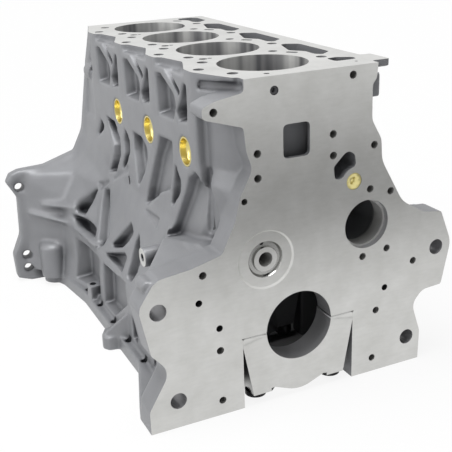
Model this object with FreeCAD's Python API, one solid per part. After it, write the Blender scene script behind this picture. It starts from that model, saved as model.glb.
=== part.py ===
import FreeCAD, Part
import math
import os

# Cast cylinder block for four cylinders in line, in millimetres.
# The origin is the crankshaft axis at the near face.
# X is to the right as the near face is looked at, Y to the far end, Z up.

# driving dimensions
bore_diameter = 93.0
bore_pitch = 107.0
cylinders = 4
deck_height = 265.0
rail_depth = 81.0
bearing_width = 29.0
main_bore_radius = 38.5
cam_x = 81.2
cam_z = 97.4
cam_seat_radius = 26.6
bush_width = 16.0
bush_wall = 2.2
plug_cup = 6.0
plate_thickness = 30.0
flange_thickness = 14.0
right_wall = 94.0
deck_right = 100.0
skirt_half = 128.0
rail_half = 141.0
bolt_x = 46.0
bolt_radius = 6.0
bolt_reach = 42.0
bolt_head_radius = 10.4
bolt_head_height = 12.0
cap_half = 66.0
head_bolt_x = -53.0
head_bolt_radius = 5.6
head_bolt_depth = 52.0
water_depth = 26.0
near_hole_radius = 8.8
tap_radius = 3.9
tap_depth = 20.0
rail_hole_x = 133.0
rail_hole_radius = 4.2
plug_x = 64.5
plug_z = 147.0
plug_radius = 9.0
socket_plug_x = -26.0
socket_plug_z = 251.0
socket_plug_radius = 4.5
core_plug_radius = 15.6
core_plug_y = 89.8
core_plug_z = 178.9
far_lug_x = 188.5
far_lug_depth = 40.0
lug_hole_radius = 6.0

# clearances and wall thicknesses
cap_side_gap = 0.05
bolt_gap = 0.05
cap_hole_gap = 0.45
cap_foot_gap = 3.0
barrel_wall = 7.5
jacket_gap = 7.0
side_clearance = 26.7
casting_wall = 20.0
bulkhead_thickness = 22.0
lip = 2.0

# sizes that follow from the ones above
bore_radius = bore_diameter / 2
block_length = bearing_width + cylinders * bore_pitch
first_main = bearing_width / 2
first_bore = first_main + bore_pitch / 2
bore_x = -2.5
mains = [first_main + bore_pitch * k for k in range(cylinders + 1)]
bores = [first_bore + bore_pitch * k for k in range(cylinders)]
barrel_radius = bore_radius + barrel_wall
jacket_radius = barrel_radius + jacket_gap
left_wall = bore_x - barrel_radius - side_clearance
rail_top = -rail_depth + 16.0
bore_foot = 112.0
slot_half = cap_half + cap_side_gap
bolt_hole_radius = bolt_radius + bolt_gap
cap_foot = cap_foot_gap - rail_depth
cap_seat = cap_foot + 16.0

# wall outlines are drawn in millimetres on a block of these sizes and stretched to the real ones
drawn_pitch = 107.0
drawn_deck = 265.0
drawn_rail = 81.0
drawn_start = 14.5


def along(y):
    return first_main + (y - drawn_start) * bore_pitch / drawn_pitch


def along_offset(y, dy):
    return y + dy * bore_pitch / drawn_pitch


def height(z):
    return z * deck_height / drawn_deck if z > 0 else z * rail_depth / drawn_rail


def space(a, b, level, axis):
    if axis == "x":
        return FreeCAD.Vector(level, a, b)
    if axis == "y":
        return FreeCAD.Vector(a, level, b)
    return FreeCAD.Vector(a, b, level)


# closed wire through points (a, b), a third number rounds that corner
def loop(points, axis, level):
    corners = [FreeCAD.Vector(point[0], point[1], 0) for point in points]
    stops = []
    for i, corner in enumerate(corners):
        wanted = points[i][2] if len(points[i]) > 2 else 0
        if not wanted:
            stops.append([corner])
            continue
        back = corners[i - 1] - corner
        ahead = corners[(i + 1) % len(corners)] - corner
        half = back.getAngle(ahead) / 2
        run = min(wanted / math.tan(half), 0.45 * back.Length, 0.45 * ahead.Length)
        radius = run * math.tan(half)
        back.normalize()
        ahead.normalize()
        middle = (back + ahead).normalize() * (radius / math.sin(half) - radius)
        stops.append([corner + back * run, corner + middle, corner + ahead * run])
    edges = []
    for i, stop in enumerate(stops):
        places = [space(v.x, v.y, level, axis) for v in stop]
        after = stops[(i + 1) % len(stops)][0]
        if len(places) == 3:
            edges.append(Part.Arc(*places).toShape())
        if (stop[-1] - after).Length > 0.001:
            edges.append(Part.makeLine(places[-1], space(after.x, after.y, level, axis)))
    return Part.Wire(edges)


def prism(points, axis, low, high):
    return Part.Face(loop(points, axis, low)).extrude(space(0, 0, high - low, axis))


def box(x0, x1, y0, y1, z0, z1):
    return Part.makeBox(x1 - x0, y1 - y0, z1 - z0, FreeCAD.Vector(x0, y0, z0))


# round bar along an axis from one level to another
def rod(radius, a, b, axis, low, high):
    return Part.makeCylinder(radius, high - low, space(a, b, low, axis), space(0, 0, 1, axis))


# bar with flat sides; the many tapped holes are cut with it, so that they stay light
def flat_rod(radius, a, b, axis, low, high, sides=8):
    turns = [2 * math.pi * (i + 0.5) / sides for i in range(sides)]
    return prism([(a + radius * math.cos(t), b + radius * math.sin(t)) for t in turns], axis, low, high)


# flat faces on four corners, as two triangles where the corners don't lie in a plane
def panel(corners):
    normal = (corners[1] - corners[0]).cross(corners[2] - corners[0])
    if abs(normal.dot(corners[3] - corners[0])) < 1e-6 * normal.Length:
        return [Part.Face(Part.makePolygon(corners + corners[:1]))]
    halves = [[corners[0], corners[1], corners[2]], [corners[0], corners[2], corners[3]]]
    return [Part.Face(Part.makePolygon(half + half[:1])) for half in halves]


# flat sided solid through rings that have the same number of points
def skin(rings):
    faces = [Part.Face(Part.makePolygon(ring + ring[:1])) for ring in (rings[0], rings[-1])]
    for one, two in zip(rings, rings[1:]):
        for i in range(len(one)):
            faces += panel([one[i - 1], one[i], two[i], two[i - 1]])
    shell = Part.makeShell(faces)
    shell.sewShape()
    solid = Part.makeSolid(shell)
    if solid.Volume < 0:
        solid.reverse()
    return solid


def fused(shapes):
    return shapes[0].multiFuse(shapes[1:]) if len(shapes) > 1 else shapes[0]


# moves each side of an outline inwards by the amount
def inset(points, amount):
    area = 0
    for i, point in enumerate(points):
        area += points[i - 1][0] * point[1] - point[0] * points[i - 1][1]
    turn = 1 if area > 0 else -1
    moved = []
    for i, point in enumerate(points):
        before = points[i - 1]
        after = points[(i + 1) % len(points)]
        one = math.atan2(point[1] - before[1], point[0] - before[0])
        two = math.atan2(after[1] - point[1], after[0] - point[0])
        half = ((two - one + math.pi) % (2 * math.pi) - math.pi) / 2
        shift = amount * turn / math.cos(half)
        normal = one + half + math.pi / 2
        moved.append((point[0] + shift * math.cos(normal), point[1] + shift * math.sin(normal)))
    return moved


# left wall seen along Y, as distance out from the upper wall at each height
wall_steps = [(-rail_depth, 47.8), (height(-65), 47.8), (0, 44.8), (height(100), 8.8), (height(160), 0),
              (deck_height + 10, 0)]


def wall_out(z):
    for (z0, out0), (z1, out1) in zip(wall_steps, wall_steps[1:]):
        if z <= z1:
            return out0 + (out1 - out0) * (z - z0) / (z1 - z0)
    return 0


# cast pocket in a side wall; the outline is (y, z) where it breaks the wall
# lean is how far the floor is drawn in, reach is how far out the tool stands
def pocket(outline, depth, lean=4.0, reach=22.0, side=-1, base=left_wall):
    spots = [(along(y), height(z)) for y, z in outline]
    low = min(z for y, z in spots)
    high = max(z for y, z in spots)
    foot = FreeCAD.Vector(base + side * wall_out(low), 0, low)
    head = FreeCAD.Vector(base + side * wall_out(high), 0, high)
    up = (head - foot).normalize()
    across = FreeCAD.Vector(0, side, 0)
    out = across.cross(up)
    slope = up.z
    flat = [(side * y, (z - low) / slope) for y, z in spots]
    rings = [(lean, -depth), (0, 0.5), (-lip, reach)]
    return skin([[foot + across * a + up * b + out * level for a, b in inset(flat, amount)]
                 for amount, level in rings])


# near face outline, (x, z) with corner radii
near_outline = [
    (-57.8, 265), (-57.8, 252.8), (-88, 248), (-100.4, 243), (-100.4, 233.5), (-97, 231.5), (-59, 219.8),
    (-56.6, 196), (-50.5, 178, 12), (-64, 153, 12), (-70.5, 128, 20), (-85.8, 97.3), (-119.9, 89.1),
    (-152, 85.6), (-159, 81), (-173, 61), (-174, 54), (-165, 7), (-146.2, -14.5, 24), (-170.7, -54.7),
    (-170.7, -81),
    (155.6, -81), (156.6, -46, 12), (144.5, -10, 22), (158, 4.6, 14), (183.2, 6.1), (193.5, 56, 26),
    (178, 94.3), (154.8, 97.1, 20), (125.5, 115, 30), (98, 164, 30), (96.5, 187, 14), (84.6, 208, 14),
    (84, 244.2), (88.7, 249.6), (90.6, 265)]

# left half of the flange at the far end, (x, z); the right half mirrors it about the crankshaft
far_half = [
    (-66, 265), (-75, 221), (-90, 126, 40), (-105, 97), (-150, 83), (-187, 81.5), (-199, 77), (-205, 66),
    (-192, 42), (-194, -12, 20), (-206.8, -40, 10), (-205, -75), (-166, -81)]

near_big_holes = [(-155.2, 51.8), (173.6, 52.9), (-139.5, -50.4), (138.6, -49.6)]
near_taps = [(61, 256), (-89, 238), (-45, 192.5), (-45, 168), (-60, 147), (39, 200), (39.5, 178), (88, 182),
             (84.5, 135.5), (110, 129), (77, 61.5), (107.5, 65), (143, 43), (96, -6), (92.5, -64),
             (-107, 80), (-112.5, 51.5), (-91.5, -6), (-91, -64), (106.5, 19), (-91.5, 19)]
hub_x = -37.5
hub_z = 82.0
hub_dish_radius = 30.4
hub_groove_radius = 20.0
hub_groove_depth = 11.0
hub_boss_radius = 13.5
hub_tap_radius = 6.5
hub_tap_depth = 26.0
port_x = 132.0
port_y = 105.0
port_z = 66.0
port_radius = 11.0
port_hole = 4.0
rail_hole_rows = [118.9, 172.8, 228.8, 282.4, 336, 390]
far_lug_rows = [57.8, -42, -61.5]


def scaled(outline):
    return [(point[0], height(point[1])) + tuple(point[2:]) for point in outline]


# pockets of one bay of the upper tier, as (distance from the near boss, z)
upper_boss = 70.0
upper_pockets = [
    ([(93, 249), (78, 251), (43, 235), (37, 226), (46, 206), (90, 204)], 14, 4),
    ([(78, 262), (58, 262), (25, 240), (30, 234)], 10, 1.5),
    ([(16, 250), (8, 250), (6, 236), (9, 212), (33, 207), (38, 218), (26, 232)], 14, 2.5)]
scoop = [(-1, 13), (-15.2, 50), (-7, 88), (5, 96), (5, 9)]

# pockets of the middle and lower wall, (y, z)
wall_pockets = [
    ([(378, 155), (361, 147), (401, 121), (389, 133)], 10, 1.5),
    ([(354, 164), (321, 163), (296, 145), (290, 127), (303, 102), (331, 95), (319, 120), (319, 133),
      (350, 156)], 13, 3),
    ([(283, 163), (263, 152), (258, 141), (265, 124), (285, 107), (278, 130), (285, 147)], 13, 2),
    ([(253, 165), (222, 165), (202, 154), (199, 143), (203, 130), (223, 103), (237, 128), (247, 143)],
     14, 3),
    ([(163, 180), (124, 182), (124, 129), (153, 117), (193, 91), (192, 109), (184, 133), (176, 158)],
     14, 3),
    ([(119, 160), (98, 143), (98, 133), (116, 112), (120, 114)], 11, 2),
    ([(66, 164), (59, 162), (24, 114), (30, 98), (88, 88), (114, 80), (99, 112), (86, 139), (82, 155)],
     13, 3, 45),
    ([(345, 72), (357, 31), (388, 28), (372, 48)], 11, 1.5, 60),
    ([(386, 22), (350, 27), (322, 25), (318, 14), (360, 10)], 10, 1.5, 60),
    ([(331, 74), (312, 79), (287, 52), (274, 31), (284, 15), (296, 8), (304, 9), (315, 31), (326, 54)],
     14, 3),
    ([(218, 65), (261, 23), (247, 24), (224, 32), (212, 43), (203, 56)], 13, 2),
    ([(277, 8), (214, 30), (203, 27), (206, 7)], 11, 2.5),
    ([(188, 62), (163, 35), (164, 24), (173, 9), (184, 7), (190, 10), (192, 45)], 14, 2),
    ([(372, -5), (290, -4), (291, -60), (370, -60)], 14, 3),
    ([(274, -4), (188, 2), (182, -24), (232, -60), (274, -60)], 14, 3),
    ([(168, -28), (148, -50), (148, -60), (164, -60)], 10, 1.5)]

# deck holes beside each bore, (x, step from the bore, bores whose hole is a mount and stays round)
head_bolt_rows = [(-72, 1.5, []), (head_bolt_x, -35.5, [0]), (head_bolt_x, 35.5, [-1]), (62, -7, [0, -1])]
tappet_floor = 170.0
tappet_space = [(71, 5), (65, 12), (66, 32), (54.5, 48), (66, 87), (73, 89), (86, 80), (86, 17)]
last_tappet_space = [(71, 5), (65, 12), (66, 32), (57, 45), (61, 56), (80, 56), (87, 49), (86, 17)]

# straight ribs on the flare towards the far flange, from (x, y, z) to (x, y, z)
flare_ribs = [((-181, 440, 21), (-134, 384, 14)), ((-135, 386, 14), (-125, 300, 8)),
              ((-164, 427, 34), (-127, 378, 38))]

# shallow cross arms of the two stars on the wall, from the middle to each tip
stars = [((315, 88), [(346, 72), (260, 118)]), ((194, 88), [(144, 85), (159, 117)])]


def crankcase_section():
    left = [(left_wall, deck_height)] + [(left_wall - out, z) for z, out in reversed(wall_steps[1:-1])]
    foot = [(-rail_half, rail_top), (-rail_half, -rail_depth), (rail_half, -rail_depth),
            (rail_half, rail_top)]
    bulge = cam_x + cam_seat_radius + 13.5
    other = [(skirt_half + 3, rail_top), (skirt_half, 0), (bulge + 3, height(60), 20),
             (bulge, height(100), 25), (right_wall, height(150), 12), (right_wall, deck_height - 22),
             (deck_right, deck_height - 14), (deck_right, deck_height)]
    return left + foot + other


def near_corner():
    # the corner below the ear follows the barrel of the first cylinder
    outline = [(-6, 98), (22, 98), (24, 112, 20), (40, 142), (57, 172, 14), (58, 231), (-6, 231)]
    spots = [(along(p[0]), height(p[1])) + tuple(p[2:]) for p in outline]
    mass = prism(spots, "x", left_wall - 60, left_wall + 40)
    profile = [(97, 95), (114, 88), (130, 82), (155, 77), (170, 70), (232, 70)]
    spine = [FreeCAD.Vector(bore_x, bores[0], height(97))]
    spine += [FreeCAD.Vector(bore_x - radius, bores[0], height(z)) for z, radius in profile]
    spine += [FreeCAD.Vector(bore_x, bores[0], height(232))]
    face = Part.Face(Part.makePolygon(spine + spine[:1]))
    drum = face.revolve(FreeCAD.Vector(bore_x, bores[0], 0), FreeCAD.Vector(0, 0, 1), 360)
    return mass.cut(drum)


def flare(sections):
    return skin([[space(x, height(z), along(y), "y") for x, z in points] for y, points in sections])


def near_flare():
    inner = [(-60, 96), (-60, -64)]
    near = [(-140, -64), (-141, -45), (-138, -15), (-147, 4), (-157, 30), (-166, 55), (-156, 82), (-104, 92),
            (-86, 96)]
    back = [(-130.5, -64), (-129.5, -45), (-128, -15), (-125.5, 4), (-116.5, 30), (-107.5, 55), (-98, 80),
            (-93.5, 92), (-92, 96)]
    return flare([(26, inner + near), (118, inner + back)])


def far_flare():
    inner = [(-60, 205), (-60, -64)]
    wall = [(-130.5, -64), (-128.5, -20), (-127.5, 0), (-112, 42), (-99, 80), (-92, 100), (-88, 126),
            (-84.5, 150), (-83, 200)]
    halfway = [(-150, -64), (-143, -20), (-143, 0), (-138, 42), (-118, 78), (-98, 97), (-89, 126), (-83, 150),
               (-80, 200)]
    flange = [(-196, -64), (-188, -20), (-189, 0), (-189, 42), (-186, 75), (-106, 94), (-88, 126), (-82, 150),
              (-77, 200)]
    return flare([(330, inner + wall), (405, inner + halfway), (447, inner + flange)])


def rail_flares():
    left = [(-100, along(120)), (-rail_half, along(120)), (-170.7, along(33)), (-170.7, 10), (-100, 10)]
    right = [(100, along(120)), (rail_half, along(120)), (155.6, along(33)), (155.6, 10), (100, 10)]
    far = [(-100, along(330)), (-rail_half, along(330)), (-150, along(400)), (-166, along(447)),
           (166, along(447)), (150, along(400)), (rail_half, along(330)), (100, along(330))]
    return [prism(outline, "z", -rail_depth, rail_top) for outline in (left, right, far)]


def wall_bosses():
    # head bolt columns stand a little proud of the upper wall
    columns = []
    for y in [along(upper_boss + drawn_pitch * k) for k in range(cylinders)]:
        if y < block_length:
            plan = [(left_wall + 6, y - 11), (left_wall - 0.4, y - 7), (left_wall - 0.4, y + 7),
                    (left_wall + 6, y + 11)]
            columns.append(prism(plan, "z", height(200), deck_height))
    # port boss, rail lug with its fin, starter housing, and two pads
    port = rod(port_radius, along(port_y), height(port_z), "x", -port_x, -100)
    lug = prism([(-120, along(186)), (1 - rail_half, along(186)), (-153, along(188)), (-158, along(196)),
                 (-157, along(204)), (-149, along(218)), (-120, along(220))], "z", -rail_depth, rail_top)
    fin = skin([[FreeCAD.Vector(x + 1.9 * k, along(y) + 2.4 * k, height(z))
                 for x, y, z in ((-126, 177, -28), (-126, 177, -68), (-155, 200, -68), (-155, 200, -63))]
                for k in (-1, 1)])
    starter = rod(18, -152, along(431), "z", -rail_depth, height(-20))
    pad = prism([(-120, along(300)), (1 - rail_half, along(300)), (1 - rail_half, along(318)),
                 (-120, along(318))], "z", -rail_depth, height(-46))
    knob = flat_rod(7, -161, height(77), "y", 5, plate_thickness - 3)
    return columns + [port, lug, fin, starter, pad, knob] + [flare_rib(*ends) for ends in flare_ribs]


def flare_rib(start, end, width=4.5, rise=4.5, sink=9.0):
    # straight rib with sloping flanks, standing out from the flare
    spots = [FreeCAD.Vector(x, along(y), height(z)) for x, y, z in (start, end)]
    run = (spots[1] - spots[0]).normalize()
    outward = FreeCAD.Vector(-1, -0.35, 0.1)
    outward = (outward - run * outward.dot(run)).normalize()
    side = run.cross(outward)
    section = [(-width, -sink), (width, -sink), (width * 0.45, rise), (-width * 0.45, rise)]
    return skin([[spot + side * a + outward * b for a, b in section] for spot in spots])


def slope_cuts():
    # shallow panel in the slanted wall between deck and ear, and the groove beside the smooth recess
    edge_y = along(61)
    edge_x = left_wall - 0.5
    near_x = near_outline[0][0]

    def on_slope(y, z, out):
        share = y / edge_y
        reach = math.hypot(edge_y, near_x - edge_x)
        return FreeCAD.Vector(near_x + share * (edge_x - near_x) - out * edge_y / reach,
                              y - out * (near_x - edge_x) / reach, height(z))

    outline = [(55, 249), (53, 258), (3, 261), (3, 254), (40, 250)]
    panel_cut = skin([[on_slope(along(y), z, out) for y, z in outline] for out in (-4.5, 5)])
    groove = [(56, 172), (49, 166), (38, 135), (28, 113), (48, 102), (52, 131)]
    outer = [FreeCAD.Vector(left_wall - 12, along(y), height(z)) for y, z in groove]
    inner = [FreeCAD.Vector(left_wall + 15.2 - (172 - z) * 0.086, along(y), height(z)) for y, z in groove]
    scoop_cut = flat_rod(port_radius + 7, along(port_y - 4), height(port_z), "x", -port_x - 8, -108)
    return [panel_cut, skin([inner, outer]), scoop_cut]


def right_bosses():
    # ribs in line with the inner main bearings stiffen the plain side
    outline = [(skirt_half - 4, rail_top), (skirt_half + 7, rail_top), (skirt_half + 4, 0),
               (skirt_half + 3, height(60)), (skirt_half - 2, height(96)), (skirt_half - 14, height(106)),
               (skirt_half - 20, height(90)), (skirt_half - 10, height(40))]
    ribs = [prism(outline, "y", y - 4.5, y + 4.5) for y in mains[1:-1]]
    corner = prism([(84, 12), (112, 12), (112, 47), (84, 47)], "z", deck_height - 8, deck_height)
    step = box(80, 101, plate_thickness - 8, 60, height(229), height(254))
    upper = prism([(80, 32), (116, 34), (121, 42), (118, 66), (80, 78)], "z", height(222), height(246))
    return ribs + [corner, step, upper]


def outer_casting():
    body = prism(crankcase_section(), "y", 12, block_length - 4)
    corner = prism([(-57.8, -2), (-57.8, 0), (left_wall - 0.5, along(61)), (left_wall - 40, along(61)),
                    (left_wall - 40, -2)], "z", height(96), deck_height + 1)
    far_corner = prism([(left_wall - 0.1, along(401)), (-66, block_length + 1),
                        (left_wall - 40, block_length + 1), (left_wall - 40, along(401))],
                       "z", height(150), deck_height + 1)
    right_corner = box(84, 160, 0, plate_thickness - 1, height(97), deck_height + 1)
    body = body.cut(fused([corner, far_corner]).fuse(right_corner)).cut(near_corner())
    plate = prism(scaled(near_outline), "y", 0, plate_thickness)
    mirror = [(-point[0],) + tuple(point[1:]) for point in reversed(far_half)]
    flange = prism(scaled(far_half + mirror), "y", block_length - flange_thickness, block_length)
    right_far = flare([(330, [(60, 205), (94, 200), (94, 150), (121, 100), (125, 42), (128, 0), (130.5, -64),
                              (60, -64)]),
                       (405, [(60, 205), (92, 200), (93, 150), (124, 97), (142, 42), (146, 0), (150, -64),
                              (60, -64)]),
                       (447, [(60, 205), (78, 200), (84, 150), (106, 94), (189, 75), (189, 0), (196, -64),
                              (60, -64)])])
    right_near = flare([(26, [(60, 96), (172, 90), (186, 56), (178, 20), (146, 0), (148, -64), (60, -64)]),
                        (100, [(60, 96), (121, 90), (124, 56), (126, 20), (128, 0), (130.5, -64),
                               (60, -64)])])
    return fused([body, plate, flange, near_flare(), far_flare(), right_far, right_near] + rail_flares())


def star_arm(middle, tip):
    # a shallow straight groove from the middle of a star to one tip
    (y0, z0), (y1, z1) = middle, tip
    length = math.hypot(y1 - y0, z1 - z0)
    side_y = -(z1 - z0) / length
    side_z = (y1 - y0) / length
    start = 0.12
    base = (y0 + (y1 - y0) * start, z0 + (z1 - z0) * start)
    return pocket([(base[0] + side_y * 2, base[1] + side_z * 2), (y1 + side_y * 6, z1 + side_z * 6),
                   (y1 - side_y * 6, z1 - side_z * 6), (base[0] - side_y * 2, base[1] - side_z * 2)],
                  3.0, lean=0.8)


def left_pockets():
    tools = []
    for bay in range(cylinders):
        start = upper_boss + drawn_pitch * bay
        whole = bay < cylinders - 1
        chosen = upper_pockets if whole else upper_pockets[2:]
        for outline, depth, lean in chosen:
            tools.append(pocket([(start + dy, z) for dy, z in outline], depth, lean))
        if whole:
            plan = [(left_wall - x, along(start + dy)) for x, dy in scoop]
            tools.append(prism(plan, "z", height(257), deck_height + 1))
    tools += [pocket(*values) for values in wall_pockets]
    for middle, tips in stars:
        tools += [star_arm(middle, tip) for tip in tips]
    return tools


def right_pockets():
    tools = []
    for k in range(1, cylinders):
        y = drawn_start + drawn_pitch * k
        outline = [(y + 17, 240), (y + 90, 240), (y + 90, 168), (y + 17, 168)]
        tools.append(pocket(outline, 6, side=1, base=right_wall))
    return tools


def hub_recess():
    # idler hub sunk in the near face: a shallow dish, a ring groove and an oil hole each side
    z = height(hub_z)
    dish = rod(hub_dish_radius, hub_x, z, "y", -1, 1.6)
    groove = rod(hub_groove_radius, hub_x, z, "y", 0, hub_groove_depth)
    groove = groove.cut(rod(hub_boss_radius, hub_x, z, "y", -1, hub_groove_depth + 1))
    tap = rod(hub_tap_radius, hub_x, z, "y", -1, hub_tap_depth)
    feed = flat_rod(2.3, hub_x - 3, height(hub_z + 16.8), "y", 5, 24)
    return [dish, groove, tap, feed]


def crankcase_space():
    tools = []
    left = [(left_wall - out + casting_wall, z) for z, out in wall_steps[1:4]]
    right = skirt_half - casting_wall
    section = [(left_wall + 18, bore_foot + 1), (44, bore_foot + 1), (68, height(70)),
               (right - 6, height(58)), (right, 0), (right + 3, rail_top), (right + 3, -rail_depth - 1),
               (left[0][0], -rail_depth - 1)] + left
    for k in range(cylinders):
        start = mains[k] + (bearing_width if k == 0 else bulkhead_thickness) / 2
        end = mains[k + 1] - (bearing_width if k == cylinders - 1 else bulkhead_thickness) / 2
        tools.append(prism(section, "y", start, end))
        tools.append(flat_rod(cam_seat_radius + 5, cam_x, height(cam_z), "y", start, end))
    return tools


def bearing_cuts():
    tools = [rod(main_bore_radius, 0, 0, "y", -1, block_length + 1),
             rod(cam_seat_radius, cam_x, height(cam_z), "y", -1, block_length + 1),
             box(-slot_half, slot_half, -1, block_length + 1, -rail_depth - 1, 0)]
    for y in mains:
        for x in (-bolt_x, bolt_x):
            tools.append(flat_rod(bolt_hole_radius, x, y, "z", -1, bolt_reach + 4))
    return tools


def jacket():
    # water space round the barrels, open to the window in the near face
    low = height(120)
    high = deck_height - 15
    left = bore_x - jacket_radius
    first = bores[0] - jacket_radius
    last = bores[-1] + jacket_radius
    shell = prism([(-30, first), (24, first), (48, first + 30), (48, last - 30), (24, last), (-30, last),
                   (left, last - 36), (left, first + 36)], "z", low, high)
    flats = barrel_radius / math.cos(math.pi / 8)
    keep = [flat_rod(flats, bore_x, y, "z", low - 1, high + 1) for y in bores]
    for y in bores:
        for dy in (-35.5, 35.5):
            spot = along_offset(y, dy)
            keep.append(box(left - 1, head_bolt_x + 10, spot - 9, spot + 9, deck_height - 62, high + 1))
    return shell.cut(fused(keep))


def deck_cuts():
    tools = []
    for y in bores:
        tools.append(rod(bore_radius, bore_x, y, "z", bore_foot - 2, deck_height + 1))
        for x, dy, ends in head_bolt_rows:
            cutter = rod if y in [bores[end] for end in ends] else flat_rod
            tools.append(cutter(head_bolt_radius, x, along_offset(y, dy), "z", deck_height - head_bolt_depth,
                                deck_height + 1))
        outline = tappet_space if y < bores[-1] else last_tappet_space
        depth = deck_height - height(tappet_floor)
        tools.append(deck_hole([(x, along_offset(y, dy)) for x, dy in outline], depth))
        slot = [(44, 38), (49, 42), (58, 32), (53, 27)]
        tools.append(deck_hole([(x, along_offset(y, dy)) for x, dy in slot], water_depth))
    for y in mains[1:-1]:
        for radius, x in ((4.5, -44), (2.5, -36.5), (5, 38)):
            tools.append(flat_rod(radius, x, y, "z", deck_height - water_depth, deck_height + 1))
    for radius, x, y in ((3.5, -27, 13), (2.5, 76, 18)):
        tools.append(flat_rod(radius, x, y, "z", deck_height - water_depth, deck_height + 1))
    tools.append(deck_hole([(60, 30), (84, 30), (87, 40), (72, 50), (60, 48)], 40))
    return tools


def deck_hole(outline, depth):
    return prism(outline, "z", deck_height - depth, deck_height + 1)


def near_face_cuts():
    tools = []
    for x, z in near_big_holes:
        tools.append(rod(near_hole_radius, x, height(z), "y", -1, plate_thickness + 1))
        tools.append(flat_rod(14, x, height(z), "y", plate_thickness, plate_thickness + 60))
    for x, z in near_taps:
        tools.append(flat_rod(tap_radius, x, height(z), "y", -1, tap_depth))
    window = [(-17, height(183), 4), (12.5, height(183), 4), (12.5, height(217), 4), (-17, height(217), 4)]
    tools.append(prism(window, "y", -1, bores[0] - jacket_radius + 3))
    slot = [(40, 166), (41.5, 152, 3), (50, 152, 4), (57, 160, 4), (66.5, 163, 4), (65, 176, 5), (56, 181, 6)]
    tools.append(prism(scaled(slot), "y", -1, 34))
    tools.append(rod(plug_radius, plug_x, height(plug_z), "y", -1, 40))
    tools.append(flat_rod(socket_plug_radius, socket_plug_x, height(socket_plug_z), "y", -1, 14))
    return tools + hub_recess()


def side_cuts():
    tools = []
    for k in range(cylinders - 1):
        y = along(core_plug_y + drawn_pitch * k)
        deep = bore_x - barrel_radius - 4
        tools.append(rod(core_plug_radius, y, height(core_plug_z), "x", left_wall - 2, deep))
    tools.append(flat_rod(port_hole, along(port_y), height(port_z), "x", -port_x - 1, -100))
    for x in (-rail_hole_x, rail_hole_x):
        for y in rail_hole_rows:
            tools.append(flat_rod(rail_hole_radius, x, along(y), "z", -rail_depth - 1, rail_top + 1))
    deep = block_length - far_lug_depth
    for x in (-far_lug_x, far_lug_x):
        for z in far_lug_rows:
            tools.append(rod(lug_hole_radius, x, height(z), "y", deep, block_length + 1))
    return tools


def cylinder_block():
    casting = outer_casting().cut(left_pockets() + right_pockets() + slope_cuts())
    casting = casting.multiFuse(wall_bosses() + right_bosses())
    casting = casting.cut(crankcase_space() + [jacket()])
    return casting.cut(bearing_cuts() + deck_cuts() + near_face_cuts() + side_cuts())


def main_cap(k):
    width = bearing_width if k in (0, cylinders) else bulkhead_thickness
    shoulder = cap_foot + 8
    outline = [(-cap_half, 0), (cap_half, 0), (cap_half, -10), (cap_half - 13, shoulder),
               (cap_half - 36, shoulder + 4), (0, cap_foot, 36), (36 - cap_half, shoulder + 4),
               (13 - cap_half, shoulder), (-cap_half, -10)]
    cap = prism(outline, "y", mains[k] - width / 2, mains[k] + width / 2)
    cap = cap.cut(rod(main_bore_radius, 0, 0, "y", -1, block_length + 1))
    for x in (-bolt_x, bolt_x):
        cap = cap.cut(flat_rod(bolt_radius + cap_hole_gap, x, mains[k], "z", -rail_depth, 1))
        cap = cap.cut(box(x - 12, x + 12, 0, block_length, -rail_depth, cap_seat))
    return cap


def main_bolts(k):
    bolts = []
    for x in (-bolt_x, bolt_x):
        shank = flat_rod(bolt_radius, x, mains[k], "z", cap_seat - 1, bolt_reach)
        head = flat_rod(bolt_head_radius, x, mains[k], "z", cap_seat - bolt_head_height, cap_seat, 6)
        bolts.append(shank.fuse(head))
    return Part.makeCompound(bolts)


def core_plug(k):
    seat = FreeCAD.Vector(left_wall + 10.5, along(core_plug_y + drawn_pitch * k), height(core_plug_z))
    cup = Part.makeCylinder(core_plug_radius, 9.5, seat, FreeCAD.Vector(-1, 0, 0))
    hollow = Part.makeCone(core_plug_radius - 3, core_plug_radius - 1.6, 9,
                           seat - FreeCAD.Vector(2, 0, 0), FreeCAD.Vector(-1, 0, 0))
    return cup.cut(hollow)


def gallery_plug():
    return rod(plug_radius, plug_x, height(plug_z), "y", 0.6, 12.6).cut(
        flat_rod(plug_radius / 2, plug_x, height(plug_z), "y", 0, 6.6, 6))


def socket_plug():
    plug = flat_rod(socket_plug_radius, socket_plug_x, height(socket_plug_z), "y", 0.8, 10)
    return plug.cut(flat_rod(2.6, socket_plug_x, height(socket_plug_z), "y", 0, 5, 6))


def cam_bush(k):
    start = mains[k] - bush_width / 2
    end = mains[k] + bush_width / 2
    ring = rod(cam_seat_radius, cam_x, height(cam_z), "y", start, end)
    return ring.cut(rod(cam_seat_radius - bush_wall, cam_x, height(cam_z), "y", start - 1, end + 1))


def cam_rear_plug():
    seat = FreeCAD.Vector(cam_x, block_length - plug_cup, height(cam_z))
    cup = Part.makeCylinder(cam_seat_radius, plug_cup, seat, FreeCAD.Vector(0, 1, 0))
    return cup.cut(Part.makeCylinder(cam_seat_radius - 4, plug_cup, seat + FreeCAD.Vector(0, 2, 0),
                                     FreeCAD.Vector(0, 1, 0)))


def build_all():
    shapes = {"cylinder_block": cylinder_block()}
    for k in range(cylinders + 1):
        shapes["main_cap_%d" % (k + 1)] = main_cap(k)
        shapes["main_bolts_%d" % (k + 1)] = main_bolts(k)
        shapes["cam_bush_%d" % (k + 1)] = cam_bush(k)
    for k in range(cylinders - 1):
        shapes["core_plug_left_%d" % (k + 1)] = core_plug(k)
    shapes["gallery_plug_front"] = gallery_plug()
    shapes["socket_plug"] = socket_plug()
    shapes["cam_rear_plug"] = cam_rear_plug()
    return shapes


os.makedirs("parts", exist_ok=True)
for name, shape in build_all().items():
    shape.exportStep("parts/%s.step" % name)
    print(name, shape.isValid(), len(shape.Solids), round(shape.Volume))
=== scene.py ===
import math

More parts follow.
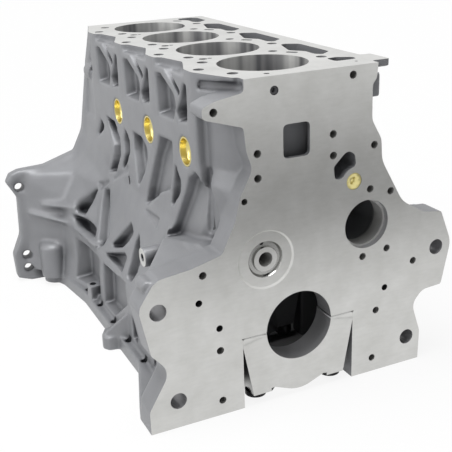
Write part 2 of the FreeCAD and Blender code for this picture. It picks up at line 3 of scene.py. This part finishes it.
import bmesh
import bpy
import numpy as np
from mathutils import Matrix, Vector


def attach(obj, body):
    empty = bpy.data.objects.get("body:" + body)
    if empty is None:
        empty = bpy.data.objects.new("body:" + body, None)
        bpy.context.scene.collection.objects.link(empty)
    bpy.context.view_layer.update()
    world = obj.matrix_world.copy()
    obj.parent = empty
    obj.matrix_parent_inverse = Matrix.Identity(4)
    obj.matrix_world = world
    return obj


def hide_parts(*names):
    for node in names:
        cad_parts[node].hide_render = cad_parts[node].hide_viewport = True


mm = 0.001
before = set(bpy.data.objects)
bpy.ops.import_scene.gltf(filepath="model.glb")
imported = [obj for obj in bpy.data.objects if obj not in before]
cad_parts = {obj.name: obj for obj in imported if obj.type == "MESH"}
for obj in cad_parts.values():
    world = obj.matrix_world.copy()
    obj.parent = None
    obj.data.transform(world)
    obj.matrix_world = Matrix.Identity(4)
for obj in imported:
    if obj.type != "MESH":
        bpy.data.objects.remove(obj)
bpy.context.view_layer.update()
print("frame read,", len(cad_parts), "nodes")


def linear(hexText):
    # sRGB hex to linear colour
    parts = [int(hexText[i:i + 2], 16) / 255 for i in (1, 3, 5)]
    return tuple(c / 12.92 if c <= 0.04045 else ((c + 0.055) / 1.055) ** 2.4 for c in parts) + (1.0,)


def perMetre(size):
    # texture scale for a feature of that size in millimetres
    return 1000.0 / size


def addNode(tree, kind, settings=None, links=None):
    node = tree.nodes.new(kind)
    for key, value in (settings or {}).items():
        if isinstance(key, int) or key in node.inputs:
            node.inputs[key].default_value = value
        else:
            setattr(node, key, value)
    for key, source in (links or {}).items():
        tree.links.new(source, node.inputs[key])
    return node


def noise(tree, where, size, detail, **more):
    settings = {"Scale": perMetre(size), "Detail": detail, **more}
    return addNode(tree, "ShaderNodeTexNoise", settings, {"Vector": where}).outputs["Fac"]


def stretched(tree, where, scale):
    return addNode(tree, "ShaderNodeMapping", {"Scale": scale}, {"Vector": where}).outputs["Vector"]


def bumped(tree, height, strength, depth, normal=None):
    # depth in millimetres
    links = {"Height": height}
    if normal:
        links["Normal"] = normal
    settings = {"Strength": strength, "Distance": depth * mm}
    return addNode(tree, "ShaderNodeBump", settings, links).outputs["Normal"]


def ranged(tree, value, settings):
    return addNode(tree, "ShaderNodeMapRange", settings, {"Value": value}).outputs["Result"]


def calc(tree, operation, first, second=0.0):
    # the second value is a number or another node's output
    if isinstance(second, float):
        return addNode(tree, "ShaderNodeMath", {"operation": operation, 1: second}, {0: first}).outputs[0]
    return addNode(tree, "ShaderNodeMath", {"operation": operation}, {0: first, 1: second}).outputs[0]


def mixed(tree, share, low, high):
    # each colour is a hex text or another node's output
    node = addNode(tree, "ShaderNodeMix", {"data_type": "RGBA"}, {0: share})
    for socket, colour in ((6, low), (7, high)):
        if isinstance(colour, str):
            node.inputs[socket].default_value = linear(colour)
        else:
            tree.links.new(colour, node.inputs[socket])
    return node.outputs[2]


def newMaterial(name):
    material = bpy.data.materials.new(name)
    material.use_nodes = True
    tree = material.node_tree
    tree.nodes.clear()
    where = addNode(tree, "ShaderNodeTexCoord").outputs["Object"]
    return material, tree, where


def closeMaterial(tree, metallic, roughness, links, settings=None):
    values = {"Metallic": metallic, "Roughness": roughness, **(settings or {})}
    shader = addNode(tree, "ShaderNodeBsdfPrincipled", values, links)
    addNode(tree, "ShaderNodeOutputMaterial", links={"Surface": shader.outputs["BSDF"]})


def meshObject(name, points, faces):
    mesh = bpy.data.meshes.new(name)
    mesh.from_pydata([tuple(p) for p in points], [], faces)
    mesh.update()
    made = bpy.data.objects.new(name, mesh)
    bpy.context.scene.collection.objects.link(made)
    return made


def applied(obj, kind, **values):
    # runs one modifier and keeps its result
    modifier = obj.modifiers.new(kind.lower(), kind)
    for key, value in values.items():
        setattr(modifier, key, value)
    seen = obj.evaluated_get(bpy.context.evaluated_depsgraph_get())
    mesh = bpy.data.meshes.new_from_object(seen)
    obj.modifiers.clear()
    old = obj.data
    obj.data = mesh
    bpy.data.meshes.remove(old)


def bars(entries, steps=64):
    # closed round bars: (x, y, z of the start, axis letter, length, start radius, end radius)
    points, faces = [], []
    for x, y, z, axis, length, startRadius, endRadius in entries:
        first = len(points)
        for level, radius in ((0, startRadius), (length, endRadius)):
            for i in range(steps):
                turn = 2 * math.pi * i / steps
                a, b = radius * math.cos(turn), radius * math.sin(turn)
                spot = {"x": (x + level, y + a, z + b), "y": (x + a, y + level, z + b),
                        "z": (x + a, y + b, z + level)}[axis]
                points.append([c * mm for c in spot])
        rounds = [[first + i, first + (i + 1) % steps, first + steps + (i + 1) % steps, first + steps + i]
                  for i in range(steps)]
        low = [first + i for i in range(steps)][::-1]
        top = [first + steps + i for i in range(steps)]
        for face in rounds + [low, top]:
            faces.append(face[::-1] if axis == "y" else face)
    return meshObject("cutter", points, faces)


def cut(obj, tool, operation="DIFFERENCE"):
    applied(obj, "BOOLEAN", object=tool, operation=operation, solver="MANIFOLD")
    bpy.data.objects.remove(tool)


# pattern sizes in millimetres
# painted shade: the cast iron's darkest grey is laid into its pockets and corners; reach is how far the
# darkening looks for walls
castIron = {"name": "grey iron, sand cast and painted silver grey", "colour": "#8F9093", "shade": "#828386",
            "deep": "#434448", "grain": 0.9, "wave": 6.0, "patch": 22.0, "reach": 16.0}
milledIron = {"name": "grey iron, face milled", "colour": "#D6D6D4", "shade": "#C4C4C1", "feed": 3.2,
              "stain": 38.0, "along": (0.25, 1, 1), "roughness": 0.34}
groundDeck = {"name": "grey iron, fine milled deck", "colour": "#D4D4D2", "shade": "#C4C4C2", "feed": 2.4,
              "stain": 38.0, "along": (1, 0.25, 1), "roughness": 0.4}
# painted highlight: the honed bore's colour and its dark shade are the two ends of painted upright light
# bands
honedIron = {"name": "grey iron, honed bore", "colour": "#DEDEDC", "shade": "#77777A", "pitch": 1.6,
             "band": 17.0}


def makeCastIron(look):
    # silver grey paint over the sand grain gives a broad dull sheen and a fine rough skin
    material, tree, where = newMaterial(look["name"])
    paint = mixed(tree, noise(tree, where, look["patch"], 4.0), look["shade"], look["colour"])
    # painted shade: pockets and corners are darkened towards a dark grey by how enclosed they are
    openness = addNode(tree, "ShaderNodeAmbientOcclusion",
                       {"samples": 8, "only_local": True, "Distance": look["reach"] * mm})
    paintedShade = ranged(tree, openness.outputs["AO"], {"From Min": 0.92, "From Max": 0.45})
    coarse = bumped(tree, noise(tree, where, look["wave"], 2.0), 0.25, 0.5)
    skin = bumped(tree, noise(tree, where, look["grain"], 3.0), 0.45, 0.2, coarse)
    closeMaterial(tree, 0.25, 0.45, {"Base Color": mixed(tree, paintedShade, paint, look["deep"]), "Normal": skin})
    return material


def makeMilled(look):
    # a face mill leaves fine arcs; they are far too fine to see, so they are drawn a few millimetres apart
    material, tree, where = newMaterial(look["name"])
    marks = noise(tree, stretched(tree, where, look["along"]), look["feed"], 2.0)
    stain = noise(tree, where, look["stain"], 5.0, Roughness=0.6)
    both = addNode(tree, "ShaderNodeMath", {"operation": "MULTIPLY_ADD", 1: 0.35}, {0: marks, 2: stain})
    ramp = ranged(tree, both.outputs["Value"], {"From Min": 0.4, "From Max": 0.95})
    closeMaterial(tree, 1.0, look["roughness"], {
        "Base Color": mixed(tree, ramp, look["shade"], look["colour"]),
        "Normal": bumped(tree, marks, 0.06, 0.05)})
    return material


def makeHoned(look):
    # honing leaves a fine crossed pattern in the bump; painted highlight: the colour runs in broad upright
    # bands from dark to light grey, standing in for the light the bore catches
    material, tree, where = newMaterial(look["name"])
    band = noise(tree, stretched(tree, where, (1, 1, 0.04)), look["band"], 2.0)
    paintedBands = ranged(tree, band, {"From Min": 0.35, "From Max": 0.65})
    marks = noise(tree, stretched(tree, where, (1, 1, 4)), look["pitch"], 3.0)
    closeMaterial(tree, 0.5, 0.38, {"Base Color": mixed(tree, paintedBands, look["shade"], look["colour"]),
                                    "Normal": bumped(tree, marks, 0.08, 0.05)})
    return material


def makePlain(name, colour, metallic, roughness, grain=0.0):
    material, tree, where = newMaterial(name)
    links = {}
    if grain:
        links["Normal"] = bumped(tree, noise(tree, where, grain, 3.0), 0.3, 0.15)
    closeMaterial(tree, metallic, roughness, links, {"Base Color": linear(colour)})
    return material


# name, colour, metallic, roughness and size of the grain
plainLooks = {"bored": ("grey iron, fine bored", "#A2A2A4", 0.4, 0.4, 1.2),
              "tapped": ("grey iron, tapped", "#A0A09E", 0.5, 0.32, 0.8),
              # painted shade: the inside finish is a dark grey so that the crankcase, the caps within it and
              # the small plain holes look shaded
              "inside": ("grey iron, raw casting inside, painted shade", "#47484A", 0.2, 0.6, 1.0),
              "water": ("grey iron, raw casting of the water space", "#7D7E81", 0.1, 0.6, 1.0),
              "turned": ("grey iron, fine turned", "#ACACAA", 1.0, 0.22),
              "brass": ("brass, pressed cup", "#D6C884", 1.0, 0.3, 2.5),
              "gouged": ("brass, driven in and punched", "#DDD192", 1.0, 0.34, 3.0),
              "black": ("steel, black oxide", "#1B1B1D", 0.6, 0.42, 1.0),
              "bush": ("white metal bush", "#C4C4C2", 0.4, 0.45),
              "steel": ("steel plug, dark", "#4A4A4C", 0.9, 0.4)}
finish = {"cast": makeCastIron(castIron), "milled": makeMilled(milledIron), "deck": makeMilled(groundDeck),
          "honed": makeHoned(honedIron)}
finish.update({key: makePlain(*look) for key, look in plainLooks.items()})
print("finishes made")


# the CAD block is thickened past its machined planes, given soft cast edges, and cut back to those planes
body = {"voxel": 1.5, "rounds": 4, "flareRounds": 40, "past": 8.0, "triangles": 178000, "sharp": 32,
        "length": 457.0, "deck": 265.0, "rail": -81.0, "boreX": -2.5, "boreRadius": 46.5, "boreFoot": 110.0,
        "bores": [68.0, 175.0, 282.0, 389.0], "mainRadius": 38.5, "camX": 81.2, "camZ": 97.4,
        "camRadius": 26.6}

# starter housing and a boss at the far corner, as bars that melt into the casting
castLumps = [(-157, 420, -70, "z", 46, 18.5, 18.5), (-157, 420, -24.5, "z", 5, 18, 12),
             (-69, 424, 207, "y", 24, 13, 13)]


def smoothed(obj, rounds, amount=None):
    # relaxes the points; amount gives each point's share from its place in millimetres
    mesh = obj.data
    count = len(mesh.vertices)
    spots = np.empty(count * 3)
    mesh.vertices.foreach_get("co", spots)
    spots = spots.reshape(-1, 3)
    ends = np.empty(len(mesh.edges) * 2, dtype=np.int64)
    mesh.edges.foreach_get("vertices", ends)
    one, two = ends[0::2], ends[1::2]
    share = np.bincount(one, minlength=count) + np.bincount(two, minlength=count)
    strength = 0.6 if amount is None else 0.6 * amount(spots / mm)[:, None]
    for turn in range(rounds):
        middle = np.empty_like(spots)
        for axis in range(3):
            middle[:, axis] = (np.bincount(one, spots[two, axis], count) +
                               np.bincount(two, spots[one, axis], count)) / share
        spots += strength * (middle - spots)
    mesh.vertices.foreach_set("co", spots.ravel())
    mesh.update()


def flareShare(spots):
    # the flare towards the far flange is one long soft curve
    x, y, z = spots.T
    along = np.clip((y - 330) / 45, 0, 1) * np.clip((449 - y) / 6, 0, 1)
    upright = np.clip((z + 40) / 30, 0, 1) * np.clip((225 - z) / 20, 0, 1)
    return along * np.clip((np.abs(x) - 82) / 6, 0, 1) * upright


def makeBody():
    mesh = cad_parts["cylinder_block"].data.copy()
    made = bpy.data.objects.new("cast_block", mesh)
    bpy.context.scene.collection.objects.link(made)
    work = bmesh.new()
    work.from_mesh(mesh)
    bmesh.ops.remove_doubles(work, verts=work.verts, dist=1e-6)
    # axis, place and side of each machined plane
    planes = ((1, 0.0, -1), (1, body["length"], 1), (2, body["deck"], 1), (2, body["rail"], -1))
    for vert in work.verts:
        for axis, place, side in planes:
            if abs(vert.co[axis] - place * mm) < 0.02 * mm:
                vert.co[axis] += side * body["past"] * mm
    lumps = bars(castLumps)
    work.from_mesh(lumps.data)
    bpy.data.objects.remove(lumps)
    work.to_mesh(mesh)
    work.free()
    mesh.materials.clear()
    applied(made, "REMESH", mode="VOXEL", voxel_size=body["voxel"] * mm, adaptivity=0.0)
    print("remeshed,", len(made.data.vertices), "points")
    smoothed(made, body["rounds"])
    smoothed(made, body["flareRounds"], flareShare)
    applied(made, "TRIANGULATE")
    applied(made, "DECIMATE", ratio=body["triangles"] / len(made.data.polygons))
    print("thinned,", len(made.data.polygons), "triangles")
    return made


def envelope():
    wide = 400.0
    points = [(x * mm, y * mm, z * mm) for x in (-wide, wide) for y in (0, body["length"])
              for z in (body["rail"], body["deck"])]
    faces = [(0, 1, 3, 2), (4, 6, 7, 5), (0, 4, 5, 1), (2, 3, 7, 6), (0, 2, 6, 4), (1, 5, 7, 3)]
    return meshObject("envelope", points, faces)


# sunk hub of the idler wheel; a feed is the place of an oil hole from the middle
hub = {"x": -37.5, "z": 82.0, "sunk": 1.6, "dish": 30.4, "groove": 20.0, "boss": 13.5, "tap": 5.5,
       "feed": 2.2, "feeds": [(-3, 17.2), (3, -12.5)]}

# round holes of the near face: places are (x, z), a mouth is the length and two radii of its taper, and
# reach and finishedTo bound the faces that get the hole's finish
nearHoles = {
    "big": {"radius": 8.8, "depth": 34, "finish": "bored", "reach": 9.2, "finishedTo": 32,
            "places": [(-155.2, 51.8), (173.6, 52.9), (-139.5, -50.4), (138.6, -49.6)]},
    # painted shade: the plain holes take the dark inside finish
    "plain": {"radius": 3.6, "depth": 20, "finish": "inside", "reach": 4, "finishedTo": 21,
              "places": [(-112.5, 51.5), (106.5, 19), (-91.5, 19)]},
    "tapped": {"radius": 2.6, "depth": 20, "mouth": (6.7, 4.2, 2.4), "finish": "tapped", "reach": 4.9,
               "finishedTo": 21,
               "places": [(61, 256), (-89, 238), (-45, 192.5), (-45, 168), (39, 200), (39.5, 178), (88, 182),
                          (84.5, 135.5), (110, 129), (77, 61.5), (107.5, 65), (143, 43), (96, -6),
                          (92.5, -64), (-107, 80), (-91.5, -6), (-91, -64)]},
    "small tapped": {"radius": 1.9, "depth": 15, "mouth": (4.7, 2.9, 1.7), "finish": "tapped", "reach": 4.9,
                     "finishedTo": 21, "places": [(-60, 147)]},
    "gallery plug": {"radius": 9.0, "depth": 35, "places": [(64.5, 147)]},
    "socket plug": {"radius": 4.5, "depth": 14, "places": [(-26, 251)]}}

# rows across the deck: head bolts are (x, step from the bore), holes between the bores are (radius, x), and
# those near the front (x, y, radius)
headBolts = {"radius": 5.6, "foot": 215, "rows": [(-72, 1.5), (-53, -35.5), (-53, 35.5), (62, -7)]}
betweenBores = {"places": [121.5, 228.5, 335.5], "foot": 240, "rows": [(4.5, -44), (2.5, -36.5), (5, 38)]}
nearDeckHoles = [(-27, 13, 3.5), (76, 18, 2.5)]

# holes of the left wall, where places are (y, z), and of the pan rail, where they are y; the pad is (x, y)
corePlugs = {"step": -31.7, "z": 178.9, "radius": 15.6}
railHoles = {"x": 133, "radius": 4.2, "places": [118.9, 172.8, 228.8, 282.4, 336, 390], "pad": (-134, 309)}
slotHoles = {"radius": 1.7, "places": [(254.8, 108.3), (253.4, 106.2), (252, 104.1), (250.4, 102)]}
port = {"face": -131.7, "y": 105.0, "z": 66.0, "faceRadius": 12, "radius": 4}

# the front cap's parting line shows as a fine groove on each side of the crank bore
capJoint = [(-67, 0, 0, "x", 29.5, 0.6, 0.6), (37.5, 0, 0, "x", 29.5, 0.6, 0.6)]


def machine(made):
    cut(made, envelope(), "INTERSECT")
    hubX, hubZ = hub["x"], hub["z"]
    cut(made, bars([(hubX, hub["sunk"], hubZ, "y", 24, hub["dish"] - 1, hub["dish"] - 1)]), "UNION")
    through = body["length"] + 10
    tools = [(body["boreX"], y, body["boreFoot"], "z", 200, body["boreRadius"], body["boreRadius"])
             for y in body["bores"]]
    tools += [(0, -5, 0, "y", through, body["mainRadius"], body["mainRadius"]),
              (body["camX"], -5, body["camZ"], "y", through, body["camRadius"], body["camRadius"]),
              (hubX, -3, hubZ, "y", 3 + hub["sunk"], hub["dish"] + 4.6, hub["dish"] - 0.8)]
    tools += [(x, -5, z, "y", 5 + hole["depth"], hole["radius"], hole["radius"])
              for hole in nearHoles.values() for x, z in hole["places"]]
    cut(made, bars(tools))
    tools = [(x, y + step, headBolts["foot"], "z", 60, headBolts["radius"], headBolts["radius"])
             for y in body["bores"] for x, step in headBolts["rows"]]
    for y in betweenBores["places"]:
        tools += [(x, y, betweenBores["foot"], "z", 40, r, r) for r, x in betweenBores["rows"]]
        tools.append((-85.5, y + corePlugs["step"], corePlugs["z"], "x", 22, corePlugs["radius"],
                      corePlugs["radius"]))
    tools += [(x, y, body["rail"] - 5, "z", 26, railHoles["radius"], railHoles["radius"])
              for x in (-railHoles["x"], railHoles["x"]) for y in railHoles["places"]]
    tools.append((*railHoles["pad"], -60, "z", 20, railHoles["radius"], railHoles["radius"]))
    tools += [(-100, y, z, "x", 16, slotHoles["radius"], slotHoles["radius"]) for y, z in slotHoles["places"]]
    tools += [(-140, port["y"], port["z"], "x", 140 + port["face"], port["faceRadius"], port["faceRadius"]),
              (-140, port["y"], port["z"], "x", 24, port["radius"], port["radius"])]
    cut(made, bars(tools, 40))
    # ring groove of the hub, whose walls taper past the named radii, its screw hole and its two oil holes
    ring = bars([(hubX, -3, hubZ, "y", 7.6, hub["groove"] + 2.4, hub["groove"] - 2.6)])
    cut(ring, bars([(hubX, -4, hubZ, "y", 16, hub["boss"] - 2.2, hub["boss"] + 2.4)]))
    cut(made, ring)
    cut(made, bars([(hubX, -3, hubZ, "y", 29, hub["tap"], hub["tap"])] +
                   [(hubX + x, 2, hubZ + z, "y", 19, hub["feed"], hub["feed"]) for x, z in hub["feeds"]]))
    # tapered mouths of the tapped holes
    mouths = [(x, -0.7, z, "y", *hole["mouth"]) for hole in nearHoles.values() if "mouth" in hole
              for x, z in hole["places"]]
    mouths.append((hubX, 0.8, hubZ, "y", 7, 8.0, 5.3))
    cut(made, bars(mouths))
    cut(made, bars(capJoint))
    print("machined,", len(made.data.polygons), "faces")


bodyFinishes = ["cast", "milled", "deck", "honed", "bored", "inside", "water", "turned", "tapped"]


def finishBody(made):
    # gives each face the finish of its place
    mesh = made.data
    mesh.materials.clear()
    for key in bodyFinishes:
        mesh.materials.append(finish[key])
    count = len(mesh.polygons)
    middle, facing = np.empty(count * 3), np.empty(count * 3)
    mesh.polygons.foreach_get("center", middle)
    mesh.polygons.foreach_get("normal", facing)
    x, y, z = (middle.reshape(-1, 3) / mm).T
    notForward = facing.reshape(-1, 3)[:, 1] > -0.9
    chosen = np.zeros(count, dtype=np.int32)

    def give(key, where):
        chosen[where] = bodyFinishes.index(key)

    def between(value, low, high):
        return (value > low) & (value < high)

    def on(value, place):
        return np.abs(value - place) < 0.05

    wallLine = np.interp(z, (-81, -65, 0, 100, 160), (-131, -131, -128, -92, -83.2))
    fromFirst = np.hypot(x - body["boreX"], y - body["bores"][0])
    fromCam = np.hypot(x - body["camX"], z - body["camZ"])
    fromHub = np.hypot(x - hub["x"], z - hub["z"])
    # crankcase, water space and tappet chest, without the outside of the near left recess
    recess = (y < 62) & (x < -20)
    inside = (x > wallLine + 17) & (x < 109) & between(y, 14, 443) & (z < 114)
    # painted shade: the crankcase gets the dark inside finish
    give("inside", inside & ~(recess & (z > 88) & (fromFirst > 76)))
    water = between(x, -66, 50) & between(y, 3, 450) & between(z, 114, 252)
    give("water", water & ~(recess & (fromFirst > 64)))
    give("water", between(x, 50, 88) & between(y, 3, 440) & between(z, 114, 264.9))
    # bores and deck holes
    for boreY in body["bores"]:
        away = np.hypot(x - body["boreX"], y - boreY)
        give("honed", (np.abs(away - body["boreRadius"]) < 0.3) & (z > body["boreFoot"] - 1))
    deckHoles = [(holeX, boreY + step, headBolts["radius"])
                 for boreY in body["bores"] for holeX, step in headBolts["rows"]]
    deckHoles += [(holeX, holeY, radius) for holeY in betweenBores["places"]
                  for radius, holeX in betweenBores["rows"]]
    for holeX, holeY, radius in deckHoles + nearDeckHoles:
        give("bored", (np.hypot(x - holeX, y - holeY) < radius + 0.4) & (z > 212))
    give("bored", np.abs(np.hypot(x, z) - body["mainRadius"]) < 0.3)
    give("water", (fromCam < body["camRadius"] + 6) & between(y, 0.1, 456))
    give("bored", np.abs(fromCam - body["camRadius"]) < 0.3)
    # holes of the near face, and the hub
    for hole in nearHoles.values():
        if "finish" not in hole:
            continue
        for holeX, holeZ in hole["places"]:
            near = (np.hypot(x - holeX, z - holeZ) < hole["reach"]) & (y < hole["finishedTo"])
            give(hole["finish"], near & notForward if "mouth" in hole else near)
    give("turned", (fromHub < hub["groove"] + 0.4) & (y < 10))
    give("tapped", (fromHub < hub["tap"] + 2.4) & between(y, 0.7, 27) & notForward)
    # machined planes
    give("milled", on(x, port["face"]) & (np.hypot(y - port["y"], z - port["z"]) < port["faceRadius"] + 0.2))
    give("milled", on(y, 0) | on(y, body["length"]))
    give("milled", on(y, hub["sunk"]) & (fromHub < hub["dish"] + 0.1))
    give("milled", (y < hub["sunk"]) & between(fromHub, hub["dish"] - 1, hub["dish"] + 1.2))
    give("deck", on(z, body["deck"]) | on(z, body["rail"]))
    mesh.polygons.foreach_set("material_index", chosen)
    mesh.polygons.foreach_set("use_smooth", np.ones(count, dtype=bool))
    mesh.set_sharp_from_angle(angle=math.radians(body["sharp"]))
    mesh.update()


castBody = makeBody()
machine(castBody)
finishBody(castBody)
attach(castBody, "root")
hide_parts("cylinder_block")
print("block done,", sum(len(p.vertices) - 2 for p in castBody.data.polygons), "triangles")


# finish and slot of every other node, by the start of its name
# painted shade: the caps inside the crankcase get the dark inside finish
pieceLooks = {"main_cap_1": ("milled", "cap"), "main_cap_5": ("milled", "cap"), "main_cap": ("inside", "cap"),
              "main_bolts": ("black", "bolt"), "cam_bush": ("bush", "bush"),
              "core_plug": ("brass", "brass_plug"), "gallery_plug": ("gouged", "brass_plug"),
              "socket_plug": ("steel", "steel_plug"), "cam_rear_plug": ("steel", "steel_plug")}

# the front cap's ears reach further down in the photograph, and its bolts have thin round flanges
frontCap = {"seat": -62.0, "ear": -70.0, "flange": 11.4, "foot": -75.4, "shank": 6.0, "x": 46.0, "top": 42.0}


def setMaterials(mesh, materials):
    mesh.materials.clear()
    for material in materials:
        mesh.materials.append(material)


def makeFrontBolts(mesh, materials):
    size = frontCap
    spots = [vert.co.y for vert in mesh.vertices]
    along = (min(spots) + max(spots)) / 2 / mm
    pair = (-size["x"], size["x"])
    made = bars([(x, along, size["foot"], "z", size["ear"] - size["foot"], size["flange"], size["flange"])
                 for x in pair])
    shanks = [(x, along, size["ear"] - 1, "z", size["top"] - size["ear"] + 1, size["shank"], size["shank"])
              for x in pair]
    cut(made, bars(shanks, 32), "UNION")
    setMaterials(made.data, materials)
    return made


def makeCopy(nodeName, mesh, materials):
    # the node's own solid with its faces joined; the bearing seat of a cap gets the second material
    made = bpy.data.objects.new(nodeName, mesh.copy())
    bpy.context.scene.collection.objects.link(made)
    setMaterials(made.data, materials)
    work = bmesh.new()
    work.from_mesh(made.data)
    bmesh.ops.remove_doubles(work, verts=work.verts, dist=1e-6)
    for face in work.faces if len(materials) > 1 else []:
        spot = face.calc_center_median() / mm
        if abs(math.hypot(spot.x, spot.z) - body["mainRadius"]) < 0.4 and abs(face.normal.y) < 0.5:
            face.material_index = 1
    work.to_mesh(made.data)
    work.free()
    return made


def lowerEars(mesh):
    for vert in mesh.vertices:
        if abs(vert.co.z / mm - frontCap["seat"]) < 0.1:
            vert.co.z = frontCap["ear"] * mm


for nodeName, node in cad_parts.items():
    if nodeName == "cylinder_block":
        continue
    look, slotName = pieceLooks[next(start for start in pieceLooks if nodeName.startswith(start))]
    materials = [finish[look], finish["bored"]] if nodeName.startswith("main_cap") else [finish[look]]
    if nodeName == "main_bolts_1":
        part = makeFrontBolts(node.data, materials)
    else:
        part = makeCopy(nodeName, node.data, materials)
    part.name = nodeName + "_finished"
    if nodeName == "main_cap_1":
        lowerEars(part.data)
        cut(part, bars(capJoint))
    part.data.polygons.foreach_set("use_smooth", [True] * len(part.data.polygons))
    part.data.set_sharp_from_angle(angle=math.radians(35))
    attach(part, "root")
    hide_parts(nodeName)
print("caps, bolts and plugs done")


# places and sizes in metres; covered is the middle and half width of the floor under the block
studio = {"floor": "#FFFFFF", "shadeUnderBlock": "#6A6A6B", "wide": 9.0,
          "covered": {"X": (0.0, 0.13), "Y": (0.2375, 0.2075)},
          "front": 0.17, "back": 0.42, "paper": 0.99, "beside": 0.88,
          "flag": [(0.0, -0.36), (0.95, -0.36), (0.95, -0.9), (0.0, -0.9)],
          "lamps": [("top soft box", (-0.35, 0.05, 1.5), (0, 0.22, 0.1), 1.0, 22.0),
                    ("left soft box", (-1.7, 0.1, 0.7), (0, 0.25, 0.05), 0.7, 6.0)]}


def plainRays(tree):
    # rays that should find the white background: the camera's, and those that metal sends on
    seen = addNode(tree, "ShaderNodeLightPath").outputs
    either = calc(tree, "MAXIMUM", seen["Is Camera Ray"], seen["Is Glossy Ray"])
    return calc(tree, "MAXIMUM", either, seen["Is Transmission Ray"])


def makeFloor():
    half = studio["wide"]
    low = (body["rail"] - 0.3) * mm
    corners = [(-half, -half, low), (half, -half, low), (half, half, low), (-half, half, low)]
    floor = meshObject("floor", corners, [(0, 1, 2, 3)])
    material, tree, where = newMaterial("pale paper floor")
    # white paper: painted shade as a dark grey under the block, a soft shadow beside it, and plain white
    # further out
    spot = addNode(tree, "ShaderNodeSeparateXYZ", links={0: where})
    beyond = []
    for axis, (middle, reach) in studio["covered"].items():
        away = calc(tree, "ABSOLUTE", calc(tree, "SUBTRACT", spot.outputs[axis], middle))
        beyond.append(calc(tree, "SUBTRACT", away, reach))
    outside = calc(tree, "MAXIMUM", *beyond)
    bare = ranged(tree, outside, {"From Min": -0.02, "From Max": 0.0, "To Max": studio["beside"]})
    far = ranged(tree, outside, {"From Min": 0.03, "From Max": 0.45,
                                 "To Max": studio["paper"] - studio["beside"]})
    share = calc(tree, "MULTIPLY", plainRays(tree), calc(tree, "ADD", bare, far))
    # painted shade: the floor under the block is dark grey, so what shows through the bores and slots is dark
    tone = mixed(tree, bare, studio["shadeUnderBlock"], studio["floor"])
    diffuse = addNode(tree, "ShaderNodeBsdfDiffuse", links={"Color": tone})
    white = addNode(tree, "ShaderNodeEmission", {"Color": (1, 1, 1, 1), "Strength": 1.0})
    mix = addNode(tree, "ShaderNodeMixShader", links={0: share, 1: diffuse.outputs[0], 2: white.outputs[0]})
    addNode(tree, "ShaderNodeOutputMaterial", links={"Surface": mix.outputs[0]})
    floor.data.materials.append(material)


def makeFlag():
    # dark card in front, outside the picture, that the milled face mirrors as its darker middle
    low = (body["rail"] + 6) * mm
    flag = meshObject("dark card", [(x, y, low) for x, y in studio["flag"]], [(0, 1, 2, 3)])
    flag.data.materials.append(makePlain("black card", "#101011", 0.0, 0.9))
    flag.visible_camera = False


def makeWorld():
    # a white backdrop behind the block and a dimmer room in front of it, plain white to the camera
    world = bpy.data.worlds.new("studio")
    bpy.context.scene.world = world
    world.use_nodes = True
    tree = world.node_tree
    tree.nodes.clear()
    facing = addNode(tree, "ShaderNodeTexCoord").outputs["Generated"]
    along = addNode(tree, "ShaderNodeSeparateXYZ", links={0: facing}).outputs["Y"]
    level = ranged(tree, along, {"From Min": -0.7, "From Max": 0.6, "To Min": studio["front"],
                                 "To Max": studio["back"]})
    soft = addNode(tree, "ShaderNodeBackground", {"Color": (1, 1, 1, 1)}, {"Strength": level})
    white = addNode(tree, "ShaderNodeBackground", {"Color": (1, 1, 1, 1), "Strength": 1.0})
    mix = addNode(tree, "ShaderNodeMixShader", links={0: plainRays(tree), 1: soft.outputs[0],
                                                      2: white.outputs[0]})
    addNode(tree, "ShaderNodeOutputWorld", links={"Surface": mix.outputs[0]})


def makeLamp(name, place, aim, size, power):
    lamp = bpy.data.lights.new(name, "AREA")
    lamp.shape = "SQUARE"
    lamp.size = size
    lamp.energy = power
    made = bpy.data.objects.new(name, lamp)
    made.location = place
    made.rotation_euler = (Vector(aim) - Vector(place)).to_track_quat("-Z", "Y").to_euler()
    bpy.context.scene.collection.objects.link(made)


# place in millimetres, angles in degrees, and focal length and width of the picture in its own dots
shot = {"place": (-398.27, -693.48, 416.36), "turn": -24.626, "rise": 20.807, "roll": -2.07,
        "focal": 851.845, "width": 452.0, "sensor": 36.0}


def makeCamera():
    # place and turn of the photograph's camera, worked out from the rows of holes and plugs
    turn, rise, roll = (math.radians(shot[key]) for key in ("turn", "rise", "roll"))
    back = Vector((math.sin(turn) * math.cos(rise), -math.cos(turn) * math.cos(rise), math.sin(rise)))
    right = Vector((0, 0, 1)).cross(back).normalized()
    up = back.cross(right)
    side = right * math.cos(roll) + up * math.sin(roll)
    top = up * math.cos(roll) - right * math.sin(roll)
    lens = bpy.data.cameras.new("photo view")
    lens.sensor_width = shot["sensor"]
    lens.lens = shot["focal"] * shot["sensor"] / shot["width"]
    lens.clip_end = 50.0
    made = bpy.data.objects.new("photo view", lens)
    made.matrix_world = (Matrix.Translation(Vector(shot["place"]) * mm) @
                         Matrix((side, top, back)).transposed().to_4x4())
    bpy.context.scene.collection.objects.link(made)
    bpy.context.scene.camera = made


makeFloor()
makeFlag()
makeWorld()
for lamp in studio["lamps"]:
    makeLamp(*lamp)
makeCamera()
bpy.context.scene.view_settings.view_transform = "Standard"
print("studio set")
